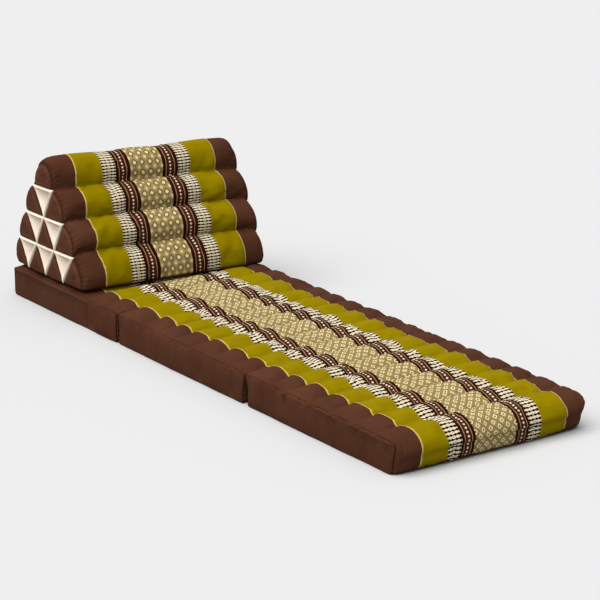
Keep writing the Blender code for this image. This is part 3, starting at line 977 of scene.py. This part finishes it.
def drawRolls(form, shape):
    # rings of points from end to end; also says in which ring the print starts
    table = np.array(form["stations"])
    reach = form["printHalfWidth"]
    inner = np.linspace(-reach, reach, 2 * round(reach / form["middleStep"]) + 1)
    outer = [y for y, _ in form["stations"] if y < -reach]
    places = np.array(outer + list(inner) + [-y for y in reversed(outer)])
    size = form["pointsPerRoll"] * len(form["rolls"])
    printed = form["pointsPerRoll"] * form["printedRolls"]
    run = runOf(sectionOfCushion(form, 1.0))
    for y in places:
        full = float(np.interp(y, table[:, 0], table[:, 1]))
        for (x, z), along in zip(sectionOfCushion(form, full, y > 0), run):
            shape.add(leaned(form, x, y, z), (y, along))
    rings = [range(first, first + size) for first in range(0, len(shape.points), size)]
    for j, (ring, after) in enumerate(zip(rings, rings[1:])):
        within = max(abs(places[j]), abs(places[j + 1])) <= reach + 1e-6
        for i in range(size):
            k = (i + 1) % size
            high = min(shape.points[ring[i]][2], shape.points[ring[k]][2]) > form["printFrom"]
            shape.face(ring[i], after[i], after[k], ring[k], keep=within and i < printed and high)
    return rings, len(outer)


def closeEnd(form, shape, ring, side):
    # crowned cells with the pockets' recesses between them
    names = [roll.start for roll in form["rolls"]]
    count = form["pointsPerRoll"]
    y = side * form["halfLength"]
    corner = {}
    for row, column in ((2, 1), (3, 1), (3, 2)):
        x, z = endCorner(form, row, column, side)
        corner[row, column] = shape.add(leaned(form, x, y, z), (y, x))

    def at(row, column):
        if row == 4:
            seam = "base%d" % column
        elif column == 0:
            seam = "back%d" % row
        elif column == row:
            seam = "front%d" % row
        else:
            return corner[row, column]
        return ring[names.index(seam) * count]

    def stretch(first, last):
        start, stop = names.index(first) * count, names.index(last) * count
        stop += len(ring) if stop <= start else 0
        return [ring[i % len(ring)] for i in range(start, stop + 1)]

    cells = (
        stretch("front1", "back1"),
        stretch("back1", "back2") + [at(2, 1)],
        stretch("front2", "front1") + [at(2, 1)],
        stretch("back2", "back3") + [at(3, 1)],
        [at(2, 1), at(3, 1), at(3, 2)],
        stretch("front3", "front2") + [at(3, 2)],
        stretch("back3", "base1"),
        stretch("base1", "base2") + [at(3, 1)],
        stretch("base2", "base3") + [at(3, 2)],
        stretch("base3", "front3"),
    )
    for outline in cells:
        crownCell(form, shape, outline, side)
    for row in (1, 2, 3):
        for column in range(row):
            outline = [at(row, column), at(row, column + 1), at(row + 1, column + 1)]
            sinkPocket(pocketForm, shape, outline, side)


def makeCushion(form):
    shape = Shape()
    rings, first = drawRolls(form, shape)
    closeEnd(form, shape, rings[0], -1)
    closeEnd(form, shape, rings[-1], 1)
    faces, uvs = shape.faces, shape.uvs
    size = len(rings[0])
    printed = form["pointsPerRoll"] * form["printedRolls"]
    caps = capsOfCushion(form, shape.points, size, len(rings))
    points = puff("cushionBody", shape.points, faces, caps, filling)
    normals = normalsOf(points, faces)
    for ring, inward in ((rings[first], size), (rings[-1 - first], -size)):
        path = [v for v in ring[:printed] if points[v][2] > form["stitchesFrom"]]
        rowOnPrint(points, normals, path, [v + inward for v in path])
    body = addPiece("cushionBody", points, faces, uvs, brownOfCushion, "brown_cotton", ["cushion"])
    sheet = cutSheet(points, faces, uvs, shape.keep, printLift, clothThickness)
    cloth = addPiece("cushionPrint", *sheet, printedCushion, "printed_cotton", ["cushion_print"])


def capsOfCushion(form, points, size, rings):
    # how far the filling may move each point; the seams, the pockets' recesses and the base don't move
    printed = form["printedRolls"] * form["pointsPerRoll"]
    caps = []
    for v, point in enumerate(points):
        low = min(max((point[2] - 0.100) / 0.03, 0), 1)      # nothing moves close to the mat
        if v < size * rings:
            ring, place = divmod(v, size)
            fixed = ring in (0, rings - 1) or place % form["pointsPerRoll"] == 0 or place > printed
            caps.append(0 if fixed else form["caps"]["roll"] * low)
        else:
            puffed = abs(point[1]) > form["halfLength"] + 0.001
            caps.append(form["caps"]["cell"] * low if puffed else 0)
    return caps


def outward(outline, points, side):
    # the outline's order that makes its faces look out of that end
    total = np.zeros(3)
    loop = [np.array(points[v]) for v in outline]
    for a, b in zip(loop, loop[1:] + loop[:1]):
        total += np.cross(a, b)
    return list(outline) if total[1] * side > 0 else list(outline)[::-1]


def crownCell(form, shape, outline, side):
    # a puffed cell of the cushion's end, drawn up in rings from its outline to its middle
    before = outward(outline, shape.points, side)
    loop = np.array([shape.points[v] for v in before])
    centre = loop.mean(axis=0)
    rings = form["cellRings"]
    # the small cells between the pockets are flatter
    high = form["cellCrown"] * min(1, np.linalg.norm(loop - centre, axis=1).mean() / form["cellSize"])
    fuller, steep = form["cellFill"]["left" if side > 0 else "right"]
    high *= fuller
    for step in range(1, rings):
        share = step / rings
        crown = high * (1 - (1 - share) ** form["cellRoundness"]) ** steep
        now = []
        for p in loop:
            q = p + (centre - p) * share
            uv = (q[1] + side * 0.01 * share, q[0] + q[2])
            now.append(shape.add((q[0], q[1] + side * crown, q[2]), uv))
        shape.join(before, now)
        before = now
    tip = (centre[0], centre[1] + side * high, centre[2])
    shape.close(before, tip, (centre[1], centre[0] + centre[2]))


# Pockets
pocketForm = {
    "pointsPerSide": 16,
    "wider": 0.05,               # how much the rim reaches over its neighbours
    "towardsCorner": 0.08,       # the deepest point lies this share of the way to the upper front corner
    "recess": 0.034,             # how deep the cushion's own cover lies behind it
    # rings from the outline to the middle: share of the way in, and height out of the end's flat
    "rings": ((0.00, 0.0000), (0.02, 0.0042), (0.06, 0.0072), (0.11, 0.0086), (0.16, 0.0076),
              (0.20, 0.0046), (0.24, 0.0002), (0.36, -0.0062), (0.52, -0.0120), (0.68, -0.0170),
              (0.84, -0.0220), (1.00, -0.0290)),
    # share of the rim's height along the upper edge, the front edge and the back edge
    "rims": (1.0, 0.85, 0.30),
    "turnsAt": 0.26,             # share of the way in, where the rings turn to the deepest point
    "ear": 0.07,                 # how much further the front corner of a row's last pocket reaches
    "uneven": 0.0006,
    "thickness": 0.0010,
    "flat": (0.118, 0.108),
    "area": 0.0064,
}


def sinkPocket(form, shape, outline, side):
    # the recess behind a pocket
    outline = outward(outline, shape.points, side)
    corners = [shape.points[v] for v in outline]
    centre = np.mean(corners, axis=0)
    deepest = centre + (np.array(max(corners)) - centre) * form["towardsCorner"]
    deepest[1] -= side * form["recess"]
    shape.close(outline, deepest, (centre[1], centre[0] + centre[2]))


def makePocket(form, name, node, row, column, side):
    end = cushionForm
    y = side * end["halfLength"]
    places = ((row, column), (row, column + 1), (row + 1, column + 1))
    corners = [endCorner(end, *place, side) for place in places]
    middle = np.mean(corners, axis=0)
    deepest = middle + (corners[1] - middle) * form["towardsCorner"]
    corners = [middle + (corner - middle) * (1 + form["wider"]) for corner in corners]
    if column == row - 1:
        corners[1] = corners[1] + (corners[1] - middle) * form["ear"]
    count = form["pointsPerSide"]
    outline, rims = [], []
    for edge in range(3):
        first, last = corners[edge], corners[(edge + 1) % 3]
        for step in range(count):
            outline.append(first + (last - first) * step / count)
            # the rim's height passes smoothly from one edge to the next
            turn = min(step, count - step) / count * 2
            neighbour = edge - 1 if step < count / 2 else edge + 1
            own, beside = form["rims"][edge], form["rims"][neighbour % 3]
            rims.append((own + beside) / 2 + (own - beside) / 2 * min(1, turn * 3))
    shape = Shape()
    before = None
    for share, height in form["rings"][:-1]:
        target = middle + (deepest - middle) * min(1, share / form["turnsAt"])
        now = []
        for number, place in enumerate(outline):
            x, z = place + (target - place) * share
            out = height * (rims[number] if height > 0 else 1)
            out += form["uneven"] * noise.noise(Vector((x * 90, z * 90, row + column * 2.3)))
            now.append(shape.add(leaned(end, x, y + side * out, z), (x, z + share * 0.02)))
        if before:
            shape.join(before, now)
        before = now
    tip = leaned(end, deepest[0], y + side * form["rings"][-1][1], deepest[1])
    shape.close(before, tip, (middle[0], middle[1] + 0.02))
    faces = [face[::-1] for face in shape.faces] if side > 0 else shape.faces
    thickness = form["thickness"]
    sheet = cutSheet(shape.points, faces, shape.uvs, [True] * len(faces), thickness / 2, thickness)
    pocket = addPiece(name, *sheet, ivoryCotton, "ivory_cotton", [node])


makeCushion(cushionForm)
print("cushion made")
for sideName, side in (("right", -1), ("left", 1)):
    for row in (1, 2, 3):
        for column in range(row):
            place = "%d_%d" % (row, column + 1)
            name = "pocket" + sideName.capitalize() + place
            makePocket(pocketForm, name, "pocket_%s_%s" % (sideName, place), row, column, side)
print("pockets made")


# Stitches
stitchForm = {
    "pitch": 0.0042,
    "length": 0.0030,
    "thickness": 0.0007,
    "uneven": 0.15,
    "seed": 4,
}


def placeStitches(rows, pitch):
    # even places along each row, with the way it runs and the way the cloth looks there
    places, ways, outs = [], [], []
    for path, normals in rows:
        run = runOf(path)
        stops = np.arange(pitch, run[-1] - pitch, pitch)
        here, ahead, out = (np.array([np.interp(at, run, table[:, c]) for c in range(3)]).T
                            for at, table in ((stops, path), (stops + 0.001, path), (stops, normals)))
        places.append(here)
        ways.append(ahead - here)
        outs.append(out)
    return [np.vstack(parts) for parts in (places, ways, outs)]


def stitchTree(name, material):
    # one thin bead of thread at each point, turned along its seam
    tree = bpy.data.node_groups.new(name, "GeometryNodeTree")
    tree.interface.new_socket("Geometry", in_out="OUTPUT", socket_type="NodeSocketGeometry")
    sockets = {}
    for title, kind in (("Geometry", "Geometry"), ("Length", "Float"), ("Thickness", "Float"),
                        ("Uneven", "Float"), ("Seed", "Int")):
        sockets[title] = tree.interface.new_socket(title, in_out="INPUT", socket_type="NodeSocket" + kind)
    maths = Maths(tree)
    given = maths.node("NodeGroupInput").outputs
    bead = maths.node("GeometryNodeMeshUVSphere")
    giveInputs(maths, bead, {"Segments": 6, "Rings": 4, "Radius": 0.5})
    turned = (0, 0, 0)
    for title, axis, pivot in (("way", "X", "AUTO"), ("out", "Z", "X")):
        stored = maths.node("GeometryNodeInputNamedAttribute", data_type="FLOAT_VECTOR")
        maths.feed(stored.inputs["Name"], title)
        turn = maths.node("FunctionNodeAlignRotationToVector", axis=axis, pivot_axis=pivot)
        giveInputs(maths, turn, {"Rotation": turned, "Vector": stored.outputs["Attribute"]})
        turned = turn.outputs[0]
    size = maths.node("ShaderNodeCombineXYZ")
    giveInputs(maths, size, {"X": given["Length"], "Y": given["Thickness"], "Z": given["Thickness"]})
    change = maths.node("FunctionNodeRandomValue", data_type="FLOAT")
    floats = [socket for socket in change.inputs if socket.type == "VALUE"]
    for socket, operation in zip(floats, ("SUBTRACT", "ADD")):
        maths.feed(socket, maths.sum(operation, 1.0, given["Uneven"]))
    maths.feed(change.inputs["Seed"], given["Seed"])
    drawn = [socket for socket in change.outputs if socket.type == "VALUE"][0]
    scaled = maths.node("ShaderNodeVectorMath", operation="SCALE")
    giveInputs(maths, scaled, {0: size.outputs[0], "Scale": drawn})
    spread = maths.node("GeometryNodeInstanceOnPoints")
    giveInputs(maths, spread, {"Points": given["Geometry"], "Instance": bead.outputs["Mesh"],
                               "Rotation": turned, "Scale": scaled.outputs[0]})
    realized = maths.node("GeometryNodeRealizeInstances")
    smooth = maths.node("GeometryNodeSetShadeSmooth")
    coloured = maths.node("GeometryNodeSetMaterial")
    maths.feed(coloured.inputs["Material"], material)
    result = maths.node("NodeGroupOutput")
    for first, second in zip((spread, realized, smooth, coloured), (realized, smooth, coloured, result)):
        maths.feed(second.inputs[0], first.outputs[0])
    return tree, {title: socket.identifier for title, socket in sockets.items()}


def makeStitches(name, rows, form, material):
    places, ways, outs = placeStitches(rows, form["pitch"])
    mesh = newMesh(name + "Places", places)
    for title, values in (("way", ways), ("out", outs)):
        mesh.attributes.new(title, "FLOAT_VECTOR", "POINT").data.foreach_set("vector", values.ravel())
    holder = newObject(name + "Places", mesh)
    tree, inputs = stitchTree(name, material)
    modifier = holder.modifiers.new("stitches", "NODES")
    modifier.node_group = tree
    for title in ("Length", "Thickness", "Uneven", "Seed"):
        modifier[inputs[title]] = form[title.lower()]
    sewn = bpy.data.meshes.new_from_object(holder.evaluated_get(bpy.context.evaluated_depsgraph_get()))
    sewn.name = name
    bpy.data.objects.remove(holder)
    piece = newObject(name, sewn)
    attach(piece, "root")
    print(name, len(places), "stitches")


makeStitches("sideStitches", stitchedRows["side"], stitchForm, brownThread)
makeStitches("printStitches", stitchedRows["print"], stitchForm, paleThread)


# Floor, light and camera
studio = {
    "floorColour": (0.428, 0.428, 0.428, 1),
    "floorReach": 25,
    "sky": 0.60,
    "sunStrength": 4.9,
    "sunAngle": 70,
    "sunFrom": (0.05, -0.45, 1.0),
    "lens": 149.61,
    "azimuth": 54.82,
    "elevation": 16.90,
    "eye": (4.8434, -3.3431, 1.9327),
}


def makeFloor(values):
    reach = values["floorReach"]
    corners = [(-reach, -reach, 0), (reach, -reach, 0), (reach, reach, 0), (-reach, reach, 0)]
    mesh = newMesh("floor", corners, [(0, 1, 2, 3)])
    material, maths, shader = newMaterial("floorPaint")
    giveInputs(maths, shader, {"Base Color": values["floorColour"], "Roughness": 0.9,
                               "Specular IOR Level": 0.0})
    mesh.materials.append(material)
    newObject("floor", mesh)


def makeLight(values):
    world = bpy.data.worlds.new("studio")
    scene.world = world
    world.use_nodes = True
    background = world.node_tree.nodes["Background"]
    background.inputs["Color"].default_value = (1, 1, 1, 1)
    background.inputs["Strength"].default_value = values["sky"]
    sun = bpy.data.lights.new("softSun", "SUN")
    sun.energy = values["sunStrength"]
    sun.angle = radians(values["sunAngle"])
    lamp = newObject("softSun", sun)
    lamp.rotation_mode = "QUATERNION"
    lamp.rotation_quaternion = Vector(values["sunFrom"]).to_track_quat("Z", "Y")
    scene.view_settings.view_transform = "Standard"


def makeCamera(values):
    camera = bpy.data.cameras.new("camera")
    camera.lens = values["lens"]
    camera.sensor_width = 36
    camera.clip_end = 100
    a, e = radians(values["azimuth"]), radians(values["elevation"])
    back = Vector((sin(a) * cos(e), -cos(a) * cos(e), sin(e)))
    right = Vector((cos(a), sin(a), 0))
    turned = Matrix((right, back.cross(right), back)).transposed().to_4x4()
    turned.translation = values["eye"]
    holder = newObject("camera", camera)
    holder.matrix_world = turned
    scene.camera = holder


makeFloor(studio)
makeLight(studio)
makeCamera(studio)
